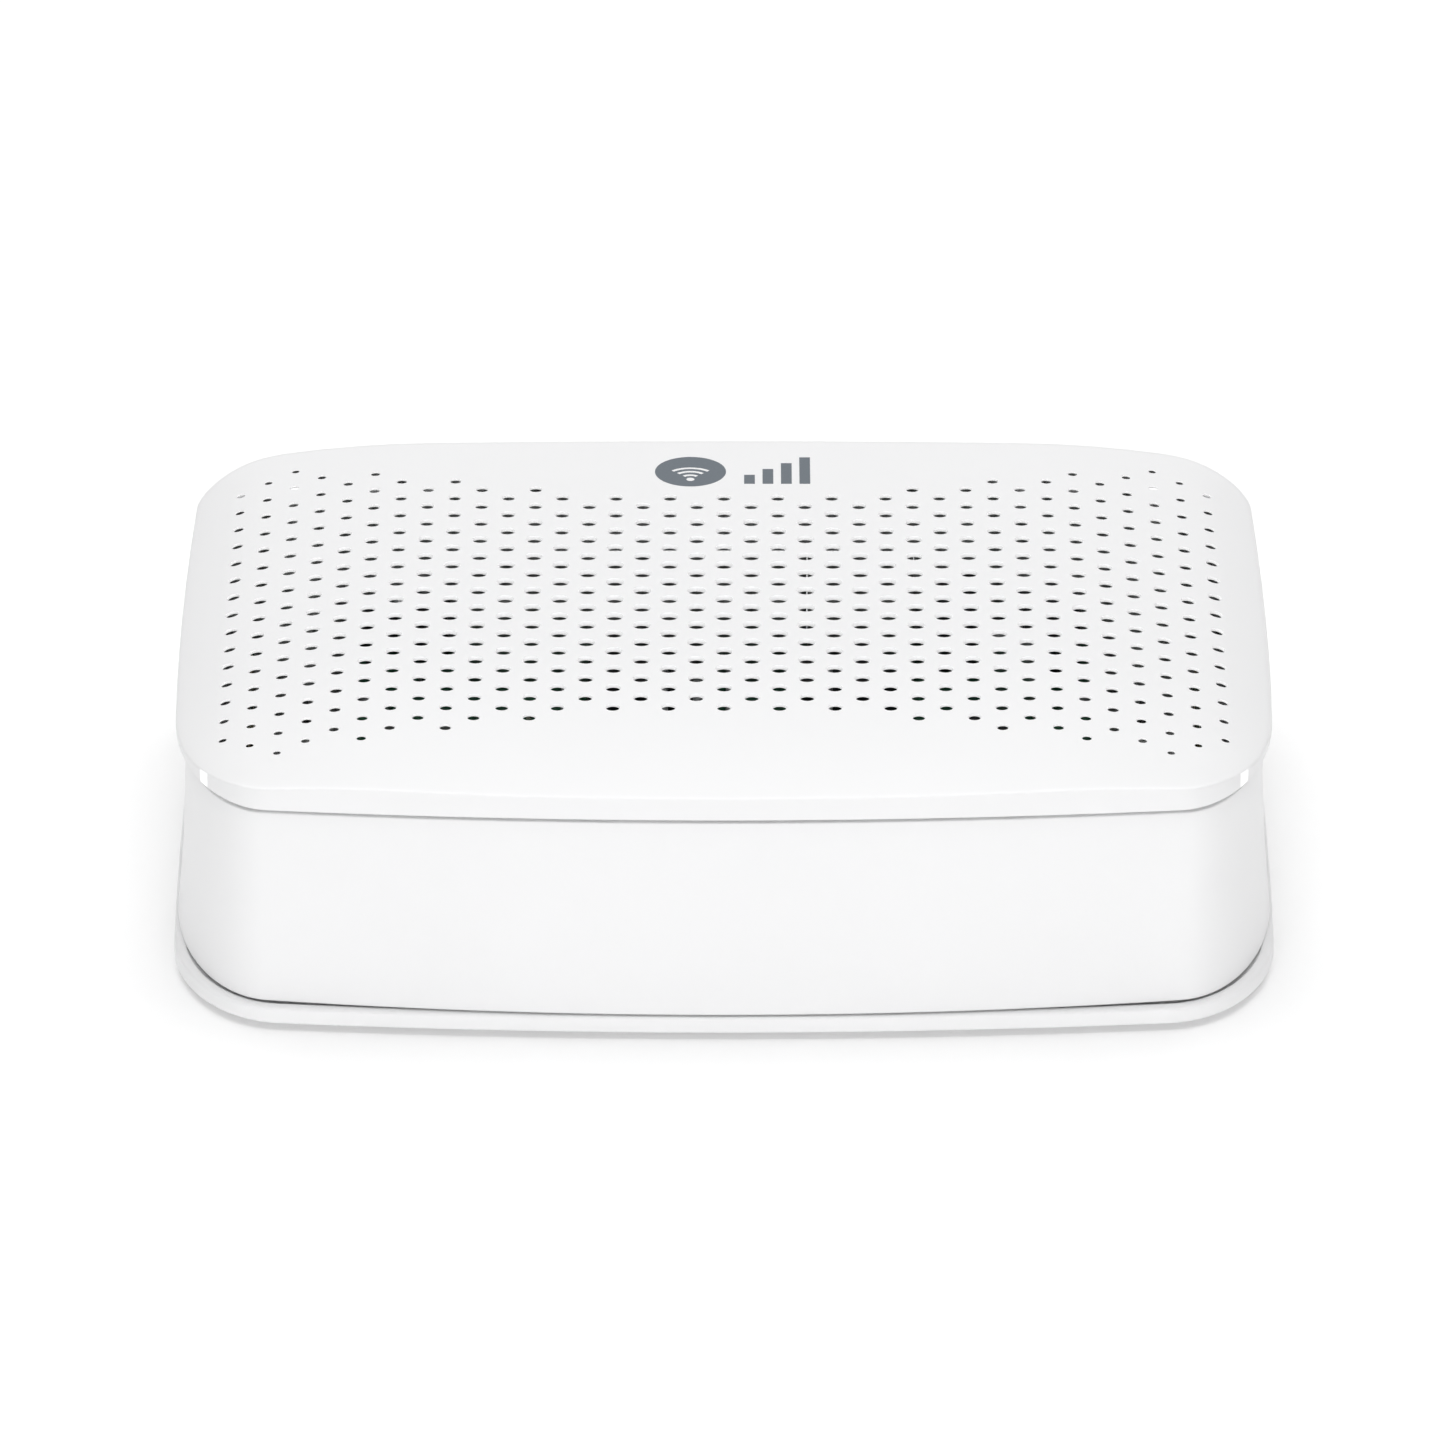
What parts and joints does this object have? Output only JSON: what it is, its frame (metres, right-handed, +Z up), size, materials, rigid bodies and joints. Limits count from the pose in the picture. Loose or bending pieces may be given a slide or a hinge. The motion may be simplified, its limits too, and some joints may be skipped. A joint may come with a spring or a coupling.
{
  "type": "wireless router",
  "caption": "Low white desktop wireless router with a crowned perforated cover, flared body, wider base plate and a rear row of network sockets, power inlet and push buttons.",
  "frame": {"origin": "middle of the footprint, on the surface that the feet stand on", "axes": "+X along the width, -Y out of the long front, +Y out of the rear row of sockets, +Z up"},
  "size_m": [0.16, 0.118, 0.0411],
  "materials": {
    "shell_white": "satin moulded plastic",
    "foot_rubber": "matte rubber",
    "steel": "zinc plated",
    "board_green": "solder mask on glass laminate",
    "chip_black": "moulded epoxy",
    "aluminium": "extruded, clear anodised",
    "pad_grey": "soft silicone pad",
    "tin_shield": "tin plated sheet",
    "socket_grey": "moulded",
    "wan_blue": "moulded",
    "contact_gold": "gold plated",
    "button_grey": "satin moulded",
    "clear_lens": "clear acrylic",
    "lead_black": "extruded jacket",
    "label_paper": "printed film"
  },
  "bodies": {
    "case": {"top_cover": "shell_white", "body_shell": "shell_white", "base_plate": "shell_white", "main_board": "board_green", "heat_sink": "aluminium", "thermal_pad": "pad_grey", "processor_chip": "chip_black", "memory_chip": "chip_black", "flash_chip": "chip_black", "radio_shield_low_band": "tin_shield", "radio_shield_high_band": "tin_shield", "network_transformer_1": "chip_black", "network_transformer_2": "chip_black", "power_inductor": "chip_black", "power_capacitor_1": "aluminium", "power_capacitor_2": "aluminium", "power_jack": "socket_grey", "power_jack_pin": "steel", "power_switch": "chip_black", "pairing_switch": "chip_black", "reset_switch": "chip_black", "status_light_pipe": "clear_lens", "status_led": "chip_black", "rating_label": "label_paper", "wan_jack": "wan_blue", "wan_jack_contacts": "contact_gold", "lan_jack_1": "socket_grey", "lan_jack_1_contacts": "contact_gold", "lan_jack_2": "socket_grey", "lan_jack_2_contacts": "contact_gold", "lan_jack_3": "socket_grey", "lan_jack_3_contacts": "contact_gold", "foot_1": "foot_rubber", "case_screw_1": "steel", "board_screw_1": "steel", "aerial_1": "board_green", "aerial_plug_1": "contact_gold", "aerial_lead_1": "lead_black", "foot_2": "foot_rubber", "case_screw_2": "steel", "board_screw_2": "steel", "aerial_2": "board_green", "aerial_plug_2": "contact_gold", "aerial_lead_2": "lead_black", "foot_3": "foot_rubber", "case_screw_3": "steel", "board_screw_3": "steel", "aerial_3": "board_green", "aerial_plug_3": "contact_gold", "aerial_lead_3": "lead_black", "foot_4": "foot_rubber", "case_screw_4": "steel", "board_screw_4": "steel", "aerial_4": "board_green", "aerial_plug_4": "contact_gold", "aerial_lead_4": "lead_black"},
    "power_button": {"power_button": "button_grey"},
    "pairing_button": {"pairing_button": "button_grey"},
    "reset_button": {"reset_button": "chip_black"}
  },
  "joints": [
    {"name": "power_button_press", "type": "slide", "parent": "case", "child": "power_button", "axis": [0, -1, 0], "range_m": [0, 0.0015], "stiffness_N_per_m": 600},
    {"name": "pairing_button_press", "type": "slide", "parent": "case", "child": "pairing_button", "axis": [0, -1, 0], "range_m": [0, 0.0006], "stiffness_N_per_m": 900},
    {"name": "reset_button_press", "type": "slide", "parent": "case", "child": "reset_button", "axis": [0, -1, 0], "range_m": [0, 0.0004], "stiffness_N_per_m": 900}
  ]
}
